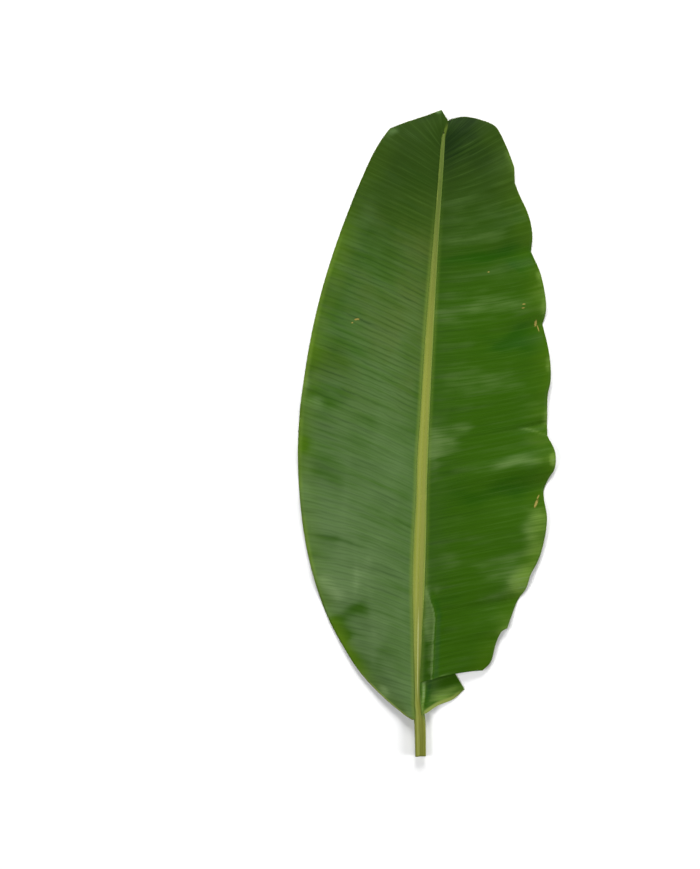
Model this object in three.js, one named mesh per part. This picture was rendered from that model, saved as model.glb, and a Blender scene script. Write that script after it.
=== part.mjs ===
// A banana leaf, cut through its stalk, lying with its glossy upper face up.
// +Y runs along the midrib to the tip, +X out over the right half, +Z up.
// Lengths are in millimetres, and y = 0 is where the blade meets the stalk.

import * as THREE from "three";

// Midrib and stalk
const STALK_CUT = -69;
const CUT_SLANT = 0.06;
const MIDRIB_TIP = 1017.5;
const TIP_TAPER = 9;
const TIP_BLUNTNESS = 0.45;
// Half width of the flat on which the midrib rests, and its most share of the midrib's half width
const KEEL_HALF = 1.7;
const KEEL_MOST = 0.4;
// The stalk's end and the tip lift off the floor, from these y onward.
const STALK_LIFT = 2.4;
const STALK_LIFT_FROM = 120;
const STALK_LIFT_RUN = 190;
const TIP_LIFT = 4;
const TIP_LIFT_FROM = 790;
const TIP_LIFT_RUN = 230;
const FINE_RINGS_TO = 160;
const FINE_RING_PITCH = 8;
const RING_PITCH = 18;

// Channelled top of the midrib, from left to right:
// [share of its half width, share of the channel's depth]
const TOP_PROFILE = [[-0.8, 0], [-0.46, 0.3], [-0.06, 1], [0.42, 0.55], [0.8, 0.1]];
// Round side of the midrib, downward: [share of its widest half, share of its height under the blade]
const SIDE_PROFILE = [[1, 0.86], [0.98, 0.56], [0.85, 0.27], [0.6, 0.08]];
// The blade lies in a notch in each side of the midrib, with its middle SEAT_DROP below the top.
const SEAT_DROP = 1.8;
const SEAT_SHARE = 0.4;
const SEAT_GAP = 0.45;
const NOTCH_TOP = 0.5;
const NOTCH_FOOT = 1.6;

// Blade
const BLADE_THICKNESS = 0.8;
const ROW_PITCH = 8.6;
// Ridge above, or furrow below, the middle of the blade, at full height this far from the midrib
const VEIN_HEIGHT = 0.65;
const VEIN_START = 14;
// The middle of the blade comes no lower than this, and eases out above it.
const FLOOR_CLEARANCE = 0.9;
const FLOOR_SOFTNESS = 1.6;
// Distance from the midrib in which the blade leaves the height of its seat
const SEAT_FADE = 9;
// Rise of the blade between midrib and edge, as a share of its reach, and how far it leans inward
const ARCH_SHARE = 0.055;
const ARCH_LEAN = 0.8;
// A fold comes to its full height at this share of the way out.
const FOLD_END = 1.05;
// From here to the tip the two halves are joined.
const SHARED_ROOT = 1022;

// The torn flap rides up in a crest beside the midrib, gentle on its inner side and steep on its outer.
// The crest leaves the midrib at CREST_TOP and stands off by CREST_OUT below CREST_BEND.
const TEAR_ROOT = 59.5;
const CREST_HEIGHT = 8.5;
const CREST_OUT = 20;
const CREST_LEAST_OUT = 0.5;
const CREST_HOLLOW = 1.8;
const CREST_DROP = 9;
const CREST_TOP = 236;
const CREST_BEND = 165;
// Distance in which the torn strip falls to the floor
const STRIP_FALL = 24;

// Columns of a blade row: first distances from the midrib, held to a share of a short row,
// then shares of what is left.
const NEAR_COLUMNS = [0, 3, 7, CREST_OUT];
const NEAR_LIMITS = [0, 0.12, 0.25, 0.45];
const FAR_COLUMNS = [0.1, 0.25, 0.42, 0.61, 0.81, 1];

// Middle of the midrib: [y, x]
const CENTRE = [
  [-70, 1.5], [-10, 0.1], [28, -4.2], [115, -4.2], [203, -2.8], [255, -1.8], [378, 2.5], [448, 4.7],
  [518, 8.5], [588, 12.2], [658, 16.3], [728, 20.9], [798, 25.8], [903, 33.7], [955, 37.4], [990, 39.9],
  [1036, 43.6],
];
// Width between the two edges of the blade, where the midrib shows: [y, width]
const RIM_WIDTH = [
  [-70, 18.2], [-10, 16.4], [12, 13.4], [45, 10.5], [80, 11.6], [115, 14], [150, 16], [220, 21.4],
  [310, 22], [380, 18.8], [450, 19], [520, 16.5], [660, 14.7], [728, 12.9], [798, 10.6], [903, 8.5],
  [955, 8], [990, 7], [1036, 4.4],
];
// Widest part of the midrib, under the blade: [y, width]
const BODY_WIDTH = [
  [-70, 18.8], [0, 20], [100, 21.5], [310, 23.4], [520, 19], [728, 16], [900, 12], [1036, 5.4],
];
// Height of the midrib: [y, height]
const DEPTH = [[-70, 15.5], [0, 17], [200, 15], [500, 10.5], [790, 6.5], [950, 4], [1036, 2.6]];
// Depth of the channel along the top of the midrib: [y, depth]
const CHANNEL = [[-70, 3.6], [0, 3.4], [100, 3], [310, 2.6], [520, 1.7], [728, 1.1], [900, 0.7], [1036, 0.3]];

// Edge of the left half, from the stalk to the tip, in smooth stretches that meet at corners.
// Each point is [x, y, y where its vein leaves the midrib].
const LEFT_EDGE = [
  [
    [-13, -5.5, -4], [-25.4, 1.8, 1], [-34.1, 8.8, 5], [-51.6, 22.8, 13], [-81.4, 50.8, 32],
    [-105.9, 78.8, 53], [-127.4, 111.3, 79], [-158.9, 169, 128], [-178.9, 221.9, 176], [-197.8, 294.7, 242],
    [-209.1, 377.5, 310], [-212.8, 458, 378], [-209.5, 531.3, 447], [-202.1, 590.3, 505], [-188.7, 668.9, 585],
    [-174.7, 730.1, 650], [-159.1, 784.2, 709], [-137.4, 848.8, 780], [-104.1, 932.8, 872], [-77.9, 988.8, 930],
    [-58.6, 1018.5, 960], [-51.6, 1027, 966],
  ],
  [[-28.9, 1036, 980], [13.1, 1050, 1004], [38.2, 1059.3, 1018]],
  [[50.1, 1040, SHARED_ROOT]],
];
// Edge of the right half, from the tear to the tip.
const RIGHT_EDGE = [
  [
    [109.9, 80, TEAR_ROOT], [123.4, 93.8, 72], [133.2, 127.6, 102], [143.9, 149.1, 121], [152.8, 154, 126],
  ],
  [
    [160.8, 175.9, 146], [172.6, 203.5, 171], [185, 221.4, 187], [193.9, 248.2, 212], [205.5, 268.8, 231],
    [214.4, 294.5, 255], [222.1, 344.6, 303], [217.4, 380.5, 340], [217.2, 394.6, 352], [226.8, 417.2, 373],
    [234.7, 430.5, 386], [237, 450.8, 404], [234.7, 466.4, 422], [223, 489.8, 449],
  ],
  [
    [222.8, 518, 480], [223.8, 563.2, 527], [228.2, 584, 549], [228.2, 614.4, 582], [219.6, 665.7, 635],
    [214.9, 684.6, 655],
  ],
  [[219.6, 701.8, 671], [220.5, 720.7, 690], [212.1, 768.1, 739], [195, 812, 785]],
  [[196.9, 836.9, 808], [193.7, 860.1, 829], [186.6, 884.3, 853], [172.4, 915.4, 882], [166.1, 930.7, 895]],
  [[165.2, 958.7, 915]],
  [[150.9, 997.7, 945], [133, 1029.7, 975], [120.6, 1037.2, 985]],
  [[96.4, 1044.8, 999], [76.3, 1047.2, 1008], [54.3, 1043.2, 1018]],
  [[50.1, 1040, SHARED_ROOT]],
];
// Edge of the torn strip between the stalk and the tear. Its last stretch lies under the flap.
const STRIP_EDGE = [
  [[12.5, 7, 3], [31.3, 18.4, 13], [58.6, 29, 24], [78.9, 46.6, 40]],
  [[61.8, 74.9, 54], [56, 84, TEAR_ROOT]],
];

// Folds that follow the veins: [y at the midrib, height, half width, share of the way out where it starts]
const LEFT_FOLDS = [
  [140, -3, 24, 0.35], [194, 3, 26, 0.3], [289, 2.5, 30, 0.4], [334, -2, 16, 0.5], [382, 3, 18, 0.5],
  [415, -2, 14, 0.5], [461, 3.5, 18, 0.45], [503, -2, 16, 0.5], [551, 3.5, 22, 0.4], [632, -2, 26, 0.3],
  [694, 3, 26, 0.3], [790, -1.5, 26, 0.3], [860, 3, 24, 0.3], [940, 2, 20, 0.3],
];
const RIGHT_FOLDS = [
  [91, 3, 16, 0.4], [124, 4, 20, 0.2], [170, -6, 18, 0.08], [209, 4.5, 20, 0.4], [290, 4, 28, 0.4],
  [355, -6, 22, 0.15], [403, 8.5, 20, 0], [472, -5, 9, 0.4], [538, 3, 24, 0.3], [600, 4, 24, 0.4],
  [650, -7, 18, 0.35], [695, 4, 18, 0.4], [740, 4, 24, 0.2], [785, -6, 16, 0.08], [828, 5, 20, 0.1],
  [870, -3, 16, 0.3], [905, 4, 20, 0.3], [947, -3, 15, 0.3],
];
// Height of the edge over the floor before the folds: [y at the midrib, height]
const LEFT_LIFT = [
  [-8, 13], [30, 8], [80, 4], [180, 2.5], [420, 3.5], [640, 3], [880, 3], [960, 4.5], [1030, 5],
];
const RIGHT_LIFT = [[59, 8], [100, 7], [180, 7.5], [420, 8], [640, 8], [840, 7], [950, 6], [1030, 5]];
const STRIP_LIFT = [[0, 10], [15, 4], [30, 1.6], [60, 1.4]];

// How far a vein bows toward the tip: [y at the midrib, distance]
const LEFT_BOW = [[0, 0], [50, 3.5], [150, 8], [330, 9], [450, 4], [700, 3.5], [850, 0], [1015, 0]];
const RIGHT_BOW = [[60, 4.2], [120, 3], [200, 1.5], [410, 1], [520, -4], [900, -5], [1015, 0]];
const STRIP_BOW = [[0, 0], [60, -1.4]];

const BLADE_COLOUR = 0x44702a;
const MIDRIB_COLOUR = 0x93a04a;

const clampShare = (value) => Math.min(1, Math.max(0, value));
const smooth = (value) => clampShare(value) ** 2 * (3 - 2 * clampShare(value));

// Value at y of a smooth curve through the knots of a table.
function along(knots, y) {
  let k = 1;
  while (k < knots.length - 1 && knots[k][0] < y) {
    k += 1;
  }
  const [y0, v0] = knots[k - 1];
  const [y1, v1] = knots[k];
  const slopeAt = (i) => {
    const a = knots[Math.max(0, i - 1)];
    const b = knots[Math.min(knots.length - 1, i + 1)];
    return (b[1] - a[1]) / (b[0] - a[0]);
  };
  const gap = y1 - y0;
  const u = clampShare((y - y0) / gap);
  const s = u * u * (3 - 2 * u);
  return v0 * (1 - s) + v1 * s + gap * u * (1 - u) * ((1 - u) * slopeAt(k - 1) - u * slopeAt(k));
}

// Measures of the midrib at y
function midribAt(y) {
  const point = TIP_BLUNTNESS + (1 - TIP_BLUNTNESS) * clampShare((MIDRIB_TIP - y) / TIP_TAPER);
  const depth = along(DEPTH, y);
  const stalkLift = STALK_LIFT * smooth((STALK_LIFT_FROM - y) / STALK_LIFT_RUN);
  const lift = stalkLift + TIP_LIFT * smooth((y - TIP_LIFT_FROM) / TIP_LIFT_RUN);
  const drop = Math.min(SEAT_DROP, SEAT_SHARE * depth);
  return {
    x: along(CENTRE, y),
    rim: (along(RIM_WIDTH, y) / 2) * point,
    body: (along(BODY_WIDTH, y) / 2) * point,
    channel: along(CHANNEL, y),
    depth,
    lift,
    drop,
    seat: lift + depth - drop,
  };
}

// Outline across the midrib at y: over the top from left to right, then round the keel.
function midribRing(y) {
  const m = midribAt(y);
  const foot = m.depth - NOTCH_FOOT * m.drop;
  const shoulder = m.depth - NOTCH_TOP * m.drop;
  const top = TOP_PROFILE.map(([across, deep]) => [across * m.rim, m.depth - deep * m.channel]);
  const side = [
    [m.rim, foot],
    ...SIDE_PROFILE.map(([across, high]) => [across * m.body, high * foot]),
    [Math.min(KEEL_HALF, KEEL_MOST * m.body), 0],
  ];
  const mirrored = side.map(([x, z]) => [-x, z]).reverse();
  const slant = y === STALK_CUT ? CUT_SLANT : 0;
  return [[-m.rim, shoulder], ...top, [m.rim, shoulder], ...side, ...mirrored].map(
    ([x, z]) => new THREE.Vector3(m.x + x, y + slant * x, m.lift + z),
  );
}

function solidFrom(points, faces) {
  const geometry = new THREE.BufferGeometry();
  const flat = points.flatMap((p) => [p.x, p.y, p.z]);
  geometry.setAttribute("position", new THREE.Float32BufferAttribute(flat, 3));
  geometry.setIndex(faces.flat());
  geometry.computeVertexNormals();
  return geometry;
}

function buildMidrib() {
  const stations = [];
  for (let y = STALK_CUT; y < FINE_RINGS_TO; y += FINE_RING_PITCH) {
    stations.push(y);
  }
  for (let y = stations.at(-1) + RING_PITCH; y < MIDRIB_TIP - TIP_TAPER; y += RING_PITCH) {
    stations.push(y);
  }
  stations.push(MIDRIB_TIP - TIP_TAPER, MIDRIB_TIP);
  const rings = stations.map(midribRing);
  const size = rings[0].length;
  const faces = [];
  for (let k = 0; k < rings.length - 1; k += 1) {
    for (let i = 0; i < size; i += 1) {
      const a = k * size + i;
      const b = k * size + ((i + 1) % size);
      faces.push([a, b, b + size], [a, b + size, a + size]);
    }
  }
  const outline = rings[0].map((p) => new THREE.Vector2(p.x, p.z));
  const last = (rings.length - 1) * size;
  for (const [a, b, c] of THREE.ShapeUtils.triangulateShape(outline, [])) {
    faces.push([a, b, c], [last + c, last + b, last + a]);
  }
  return solidFrom(rings.flat(), faces);
}

// Rows of a half blade, one for each vein: where it leaves the midrib and where it meets the edge
function bladeRows(edge) {
  const rows = [];
  let corner = null;
  for (const stretch of edge) {
    const knots = corner ? [corner, ...stretch] : stretch;
    corner = stretch.at(-1);
    const curve = new THREE.CatmullRomCurve3(
      knots.map((k) => new THREE.Vector3(...k)), false, "centripetal",
    );
    const steps = Math.max(1, Math.round(curve.getLength() / Math.SQRT2 / ROW_PITCH));
    for (let i = rows.length ? 1 : 0; i <= steps; i += 1) {
      const p = curve.getPointAt(i / steps);
      rows.push({ edge: new THREE.Vector2(p.x, p.y), root: p.z });
    }
  }
  return rows;
}

// The three parts of the blade: their edges, folds, heights of the edge, and bows
const PARTS = {
  left: { edge: LEFT_EDGE, folds: LEFT_FOLDS, lift: LEFT_LIFT, bow: LEFT_BOW, side: -1 },
  right: { edge: RIGHT_EDGE, folds: RIGHT_FOLDS, lift: RIGHT_LIFT, bow: RIGHT_BOW, side: 1 },
  strip: { edge: STRIP_EDGE, folds: [], lift: STRIP_LIFT, bow: STRIP_BOW, side: 1 },
};

function foldHeight(folds, root, t) {
  return folds.reduce(
    (sum, [at, height, half, start]) =>
      sum + height * Math.exp(-(((root - at) / half) ** 2)) * smooth((t - start) / (FOLD_END - start)),
    0,
  );
}

// How far the torn flap rises in its crest, from 0 to 1
function crestShare(root, out) {
  const near = smooth((CREST_TOP - root) / (CREST_TOP - CREST_BEND));
  const ridge = Math.max(CREST_OUT * near, CREST_LEAST_OUT);
  const inner = clampShare(out / ridge) ** CREST_HOLLOW;
  const outer = Math.exp(-((Math.max(out - ridge, 0) / CREST_DROP) ** 2));
  return near * inner * outer;
}

// Height of the middle of the blade over the floor, before its veins
function bladeHeight(part, root, t, reach) {
  const seat = midribAt(root).seat;
  const out = t * reach;
  const near = Math.exp(-out / SEAT_FADE);
  const edge = along(PARTS[part].lift, root);
  let height = 0;
  if (part === "strip") {
    const fall = 1 - Math.exp(-((out / STRIP_FALL) ** 2));
    height = seat * (1 - fall) + edge * fall;
  } else {
    const settle = smooth(t);
    const arch = ARCH_SHARE * reach * Math.sin(Math.PI * t ** ARCH_LEAN);
    height = seat * (1 - settle) + edge * settle + arch + foldHeight(PARTS[part].folds, root, t);
  }
  if (part === "right") {
    height += CREST_HEIGHT * crestShare(root, out);
  }
  const over = height - FLOOR_CLEARANCE;
  const held = FLOOR_CLEARANCE + (over + Math.hypot(over, FLOOR_SOFTNESS)) / 2;
  return seat * near + held * (1 - near);
}

function columnsOf(reach) {
  const near = NEAR_COLUMNS.map((distance, j) => Math.min(distance / reach, NEAR_LIMITS[j]));
  const start = near.at(-1);
  return [...near, ...FAR_COLUMNS.map((share) => start + (1 - start) * share)];
}

// Points of a vein row from the midrib to the edge. Odd rows are furrows and even rows ridges.
function rowPoints(part, row, index) {
  const side = PARTS[part].side;
  const m = midribAt(row.root);
  const open = row.root < SHARED_ROOT ? m.rim + SEAT_GAP : 0;
  const start = new THREE.Vector2(m.x + side * open, row.root);
  const reach = start.distanceTo(row.edge);
  const bow = along(PARTS[part].bow, row.root);
  const wave = (index % 2 ? -1 : 1) * VEIN_HEIGHT;
  return columnsOf(reach).map((t) => {
    const p = start.clone().lerp(row.edge, t);
    const vein = wave * smooth((t * reach) / VEIN_START);
    const z = bladeHeight(part, row.root, t, reach) + vein;
    return new THREE.Vector3(p.x, p.y + bow * 4 * t * (1 - t), z);
  });
}

// Joins the rows of one part to the sheet. A row may share points that the sheet already has.
function addPart(sheet, part, rows, shared) {
  const ids = rows.map((row, i) =>
    rowPoints(part, row, i).map((point, j) => {
      const known = shared.get(i) ?? [];
      return j < known.length ? known[j] : sheet.points.push(point) - 1;
    }),
  );
  for (let i = 0; i < ids.length - 1; i += 1) {
    for (let j = 0; j < ids[i].length - 1; j += 1) {
      const [a, b, c, d] = [ids[i][j], ids[i][j + 1], ids[i + 1][j + 1], ids[i + 1][j]];
      if (part === "left") {
        sheet.faces.push([a, c, b], [a, d, c]);
      } else {
        sheet.faces.push([a, b, c], [a, c, d]);
      }
    }
  }
  return ids;
}

// Gives a sheet of triangles its thickness, split alike on both faces, with walls round its edges.
function thicken(sheet) {
  const middle = solidFrom(sheet.points, sheet.faces);
  const normals = middle.getAttribute("normal");
  const count = sheet.points.length;
  const shifted = (amount) =>
    sheet.points.map((p, i) =>
      p.clone().addScaledVector(new THREE.Vector3().fromBufferAttribute(normals, i), amount),
    );
  const points = [...shifted(BLADE_THICKNESS / 2), ...shifted(-BLADE_THICKNESS / 2)];
  const faces = [];
  const inner = new Set();
  for (const [a, b, c] of sheet.faces) {
    faces.push([a, b, c], [a + count, c + count, b + count]);
    inner.add(`${b} ${a}`).add(`${c} ${b}`).add(`${a} ${c}`);
  }
  for (const [a, b, c] of sheet.faces) {
    for (const [p, q] of [[a, b], [b, c], [c, a]]) {
      if (!inner.has(`${p} ${q}`)) {
        faces.push([p, p + count, q], [q, p + count, q + count]);
      }
    }
  }
  return solidFrom(points, faces);
}

function buildBlade() {
  const sheet = { points: [], faces: [] };
  const left = addPart(sheet, "left", bladeRows(PARTS.left.edge), new Map());
  const strip = addPart(sheet, "strip", bladeRows(PARTS.strip.edge), new Map());
  const rows = bladeRows(PARTS.right.edge);
  // The right half is joined to the strip beside the midrib, and to the left half at the tip.
  const shared = new Map([[0, strip.at(-1).slice(0, 2)], [rows.length - 1, left.at(-1)]]);
  addPart(sheet, "right", rows, shared);
  return thicken(sheet);
}

const leaf = new THREE.Group();
leaf.name = "banana_leaf";

for (const [name, geometry, color] of [
  ["blade", buildBlade(), BLADE_COLOUR],
  ["midrib", buildMidrib(), MIDRIB_COLOUR],
]) {
  const mesh = new THREE.Mesh(geometry, new THREE.MeshStandardMaterial({ color, roughness: 0.5 }));
  mesh.name = name;
  leaf.add(mesh);
}

const box = new THREE.Box3().setFromObject(leaf);
const middle = box.getCenter(new THREE.Vector3());
for (const mesh of leaf.children) {
  mesh.geometry.translate(-middle.x, -middle.y, -box.min.z);
}

export default leaf;
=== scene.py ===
"""A cut banana leaf that lies with its glossy upper face up on a pale floor."""

import math

import bpy
import numpy as np
from bpy.props import FloatProperty, FloatVectorProperty, IntProperty, PointerProperty
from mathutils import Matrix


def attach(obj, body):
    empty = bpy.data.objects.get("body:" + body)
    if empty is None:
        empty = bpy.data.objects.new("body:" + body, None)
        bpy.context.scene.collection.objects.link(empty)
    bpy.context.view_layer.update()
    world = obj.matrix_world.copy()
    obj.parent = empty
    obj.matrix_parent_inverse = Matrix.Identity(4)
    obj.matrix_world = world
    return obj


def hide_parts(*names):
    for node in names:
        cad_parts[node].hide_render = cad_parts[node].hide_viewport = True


bl_info = {
    "name": "Banana Leaf",
    "version": (1, 0, 0),
    "blender": (4, 5, 0),
    "location": "3D View > Sidebar > Leaf",
    "description": "Builds a pleated banana leaf, its midrib and a plain stage",
    "category": "Add Mesh",
}

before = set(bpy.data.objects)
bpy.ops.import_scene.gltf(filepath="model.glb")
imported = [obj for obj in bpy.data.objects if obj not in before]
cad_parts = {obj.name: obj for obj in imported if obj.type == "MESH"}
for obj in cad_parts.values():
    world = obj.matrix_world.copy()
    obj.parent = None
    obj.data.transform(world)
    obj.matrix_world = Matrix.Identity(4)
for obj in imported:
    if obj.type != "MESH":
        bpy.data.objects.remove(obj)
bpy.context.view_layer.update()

MM = 0.001

# The leaf is laid out in millimetres with y = 0 where the blade meets the stalk.
# The frame has its origin under the middle of the leaf.
MIDDLE = np.array([12.09, 494.85])

STALK_CUT = -69.0
MIDRIB_TIP = 1017.5
TIP_TAPER = 9.0
SHARED_ROOT = 1022.0
TEAR_ROOT = 59.5
TIP_NOTCH = (50.1, 1040.0)

# The torn flap rides up in a crest, gentle toward the midrib and steep on its outer side.
# The crest leaves the midrib at CREST_TOP and stands off by CREST_OUT below CREST_BEND.
CREST_HEIGHT = 8.5
CREST_OUT = 20.0
CREST_DROP = 9.0
CREST_TOP = 236.0
CREST_BEND = 165.0
CREST_SWING = 1.8

# The blade keeps to its seat on the midrib for about SEAT_REACH, arches by ARCH_RISE of its reach
# and is eased to stay FLOOR_GAP over the floor. The strip falls over STRIP_FALL.
SEAT_REACH = 9.0
ARCH_RISE = 0.055
ARCH_LEAN = 0.8
FLOOR_GAP = 0.9
FLOOR_EASE = 1.6
STRIP_FALL = 24.0

# Lap of the blade over the midrib, and how much more the strip laps at its base
LAP = 0.3
STRIP_LAP = 2.6
# How far the mesh columns crowd toward the midrib
CROWDING = 0.35
# Share of its thickness that the blade keeps at its edge, and run over which it thins
EDGE_SHARE = 0.55
EDGE_TAPER = 3.0

# Pitches and heights of the pleats, and height of the ripple at the edge
VEIN_PITCH = 10.0
SMALL_PITCH = 6.7
SWELL_PITCH = 23.0
MAIN_PLEAT = 0.07
SMALL_PLEAT = 0.03
WIDE_SWELL = 0.16
RIPPLE = 0.5

# Middle of the midrib: (y, x)
CENTRE = [
    (-70, 1.5), (-10, 0.1), (28, -4.2), (115, -4.2), (203, -2.8), (255, -1.8), (378, 2.5), (448, 4.7),
    (518, 8.5), (588, 12.2), (658, 16.3), (728, 20.9), (798, 25.8), (903, 33.7), (955, 37.4), (990, 39.9),
    (1036, 43.6),
]
# Width of the midrib between the two edges of the blade: (y, width)
RIM_WIDTH = [
    (-70, 18.2), (-10, 16.4), (12, 13.4), (45, 10.5), (80, 11.6), (115, 14), (150, 16), (220, 21.4),
    (310, 22), (380, 18.8), (450, 19), (520, 16.5), (660, 14.7), (728, 12.9), (798, 10.6), (903, 8.5),
    (955, 8), (990, 7), (1036, 4.4),
]
# Widest part of the midrib, under the blade: (y, width)
BODY_WIDTH = [(-70, 18.8), (0, 20), (100, 21.5), (310, 23.4), (520, 19), (728, 16), (900, 12), (1036, 5.4)]
# Height of the midrib, and depth of the channel along its top: (y, measure)
DEPTH = [(-70, 15.5), (0, 17), (200, 15), (500, 10.5), (790, 6.5), (950, 4), (1036, 2.6)]
CHANNEL = [(-70, 3.6), (0, 3.4), (100, 3), (310, 2.6), (520, 1.7), (728, 1.1), (900, 0.7), (1036, 0.3)]
# Share of its width that the midrib keeps at its tip
END_SHARE = 0.45
# Lift of the midrib at its two ends: (height, y where it starts, run)
STALK_LIFT = (2.4, 120.0, 190.0)
TIP_LIFT = (4.0, 790.0, 230.0)
# Step down to the seat of the blade, at most this share of the midrib's height
SEAT_DROP = 1.8
SEAT_SHARE = 0.4

# Section of the midrib over its top: (half widths of the top, channels down, drops down)
TOP_SECTION = [
    (-1, 0, 0.5), (-0.8, 0, 0), (-0.46, 0.3, 0), (-0.06, 1, 0), (0.42, 0.55, 0), (0.8, 0.1, 0), (1, 0, 0.5),
]
# Section of its right side down to the keel: (half widths of the body, heights)
SIDE_SECTION = [(1, 0.86), (0.98, 0.56), (0.85, 0.27), (0.6, 0.08)]
KEEL_HALF = 1.7
# The cut is slanted, and its face is dished: (share of the outline, depth)
CUT_SLANT = 0.06
CUT_RINGS = [(0.93, 0.05), (0.8, 0.35), (0.62, 0.5), (0.42, 0.6), (0.2, 0.65)]

# Edges of the blade in smooth stretches that meet at corners: (x, y, y where the vein leaves the midrib)
LEFT_EDGE = [
    [
        (-13, -5.5, -4), (-25.4, 1.8, 1), (-34.1, 8.8, 5), (-51.6, 22.8, 13), (-81.4, 50.8, 32),
        (-105.9, 78.8, 53), (-127.4, 111.3, 79), (-158.9, 169, 128), (-178.9, 221.9, 176),
        (-197.8, 294.7, 242), (-209.1, 377.5, 310), (-212.8, 458, 378), (-209.5, 531.3, 447),
        (-202.1, 590.3, 505), (-188.7, 668.9, 585), (-174.7, 730.1, 650), (-159.1, 784.2, 709),
        (-137.4, 848.8, 780), (-104.1, 932.8, 872), (-77.9, 988.8, 930), (-58.6, 1018.5, 960),
        (-51.6, 1027, 966),
    ],
    [(-28.9, 1036, 980), (13.1, 1050, 1004), (38.2, 1059.3, 1018)],
    [(50.1, 1040, SHARED_ROOT)],
]
RIGHT_EDGE = [
    [(109.9, 80, TEAR_ROOT), (123.4, 93.8, 72), (133.2, 127.6, 102), (143.9, 149.1, 121), (152.8, 154, 126)],
    [
        (160.8, 175.9, 146), (172.6, 203.5, 171), (185, 221.4, 187), (193.9, 248.2, 212),
        (205.5, 268.8, 231), (214.4, 294.5, 255), (222.1, 344.6, 303), (217.4, 380.5, 340),
        (217.2, 394.6, 352), (226.8, 417.2, 373), (234.7, 430.5, 386), (237, 450.8, 404),
        (234.7, 466.4, 422), (223, 489.8, 449),
    ],
    [
        (222.8, 518, 480), (223.8, 563.2, 527), (228.2, 584, 549), (228.2, 614.4, 582),
        (219.6, 665.7, 635), (214.9, 684.6, 655),
    ],
    [(219.6, 701.8, 671), (220.5, 720.7, 690), (212.1, 768.1, 739), (195, 812, 785)],
    [
        (196.9, 836.9, 808), (193.7, 860.1, 829), (186.6, 884.3, 853), (172.4, 915.4, 882),
        (166.1, 930.7, 895),
    ],
    [(165.2, 958.7, 915)],
    [(150.9, 997.7, 945), (133, 1029.7, 975), (120.6, 1037.2, 985)],
    [(96.4, 1044.8, 999), (76.3, 1047.2, 1008), (54.3, 1043.2, 1018)],
    [(50.1, 1040, SHARED_ROOT)],
]
STRIP_EDGE = [
    [(12.5, 7, 3), (31.3, 18.4, 13), (58.6, 29, 24), (78.9, 46.6, 40)],
    [(61.8, 74.9, 54), (56, 84, TEAR_ROOT)],
]
EDGES = {"left": LEFT_EDGE, "right": RIGHT_EDGE, "strip": STRIP_EDGE}

# Folds that follow the veins: (y at the midrib, height, half width, share of the way out where it starts)
LEFT_FOLDS = [
    (140, -3, 24, 0.35), (194, 3, 26, 0.3), (289, 2.5, 30, 0.4), (334, -2, 16, 0.5), (382, 3, 18, 0.5),
    (415, -2, 14, 0.5), (461, 3.5, 18, 0.45), (503, -2, 16, 0.5), (551, 3.5, 22, 0.4), (632, -2, 26, 0.3),
    (694, 3, 26, 0.3), (790, -1.5, 26, 0.3), (860, 3, 24, 0.3), (940, 2, 20, 0.3),
]
RIGHT_FOLDS = [
    (91, 3, 16, 0.4), (124, 4, 20, 0.2), (170, -6, 18, 0.08), (209, 4.5, 20, 0.4), (290, 4, 28, 0.4),
    (355, -6, 22, 0.15), (403, 8.5, 20, 0), (472, -5, 9, 0.4), (538, 3, 24, 0.3), (600, 4, 24, 0.4),
    (650, -7, 18, 0.35), (695, 4, 18, 0.4), (740, 4, 24, 0.2), (785, -6, 16, 0.08), (828, 5, 20, 0.1),
    (870, -3, 16, 0.3), (905, 4, 20, 0.3), (947, -3, 15, 0.3),
]
FOLDS = {"left": LEFT_FOLDS, "right": RIGHT_FOLDS}
# Share of the way out where a fold has its full height
FOLD_FULL = 1.05
# Height of the edge over the floor before the folds: (y at the midrib, height)
LIFTS = {
    "left": [(-8, 13), (30, 8), (80, 4), (180, 2.5), (420, 3.5), (640, 3), (880, 3), (960, 4.5), (1030, 5)],
    "right": [(59, 8), (100, 7), (180, 7.5), (420, 8), (640, 8), (840, 7), (950, 6), (1030, 5)],
    "strip": [(0, 10), (15, 4), (30, 1.6), (60, 1.4)],
}

# How far a vein bows toward the tip: (y at the midrib, distance)
BOWS = {
    "left": [(0, 0), (50, 3.5), (150, 8), (330, 9), (450, 4), (700, 3.5), (850, 0), (1015, 0)],
    "right": [(60, 4.2), (120, 3), (200, 1.5), (410, 1), (520, -4), (900, -5), (1015, 0)],
    "strip": [(0, 0), (60, -1.4)],
}

# Small tan marks on the upper face: (x, y, half length, half width, turn in degrees)
SCARS = [
    (-109.4, 693, 5.6, 1.9, 6), (-117.5, 687, 2.4, 1.4, 10), (181, 719, 3.4, 1.1, 8),
    (180, 712.5, 3.4, 1.1, 8), (119.9, 775, 2.2, 1.1, 10), (202.5, 686, 2.6, 6.5, -8),
    (207, 678, 1.2, 7, 17), (203, 371, 2.8, 8.5, -25), (207, 383, 1.4, 5, -30),
]

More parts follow.
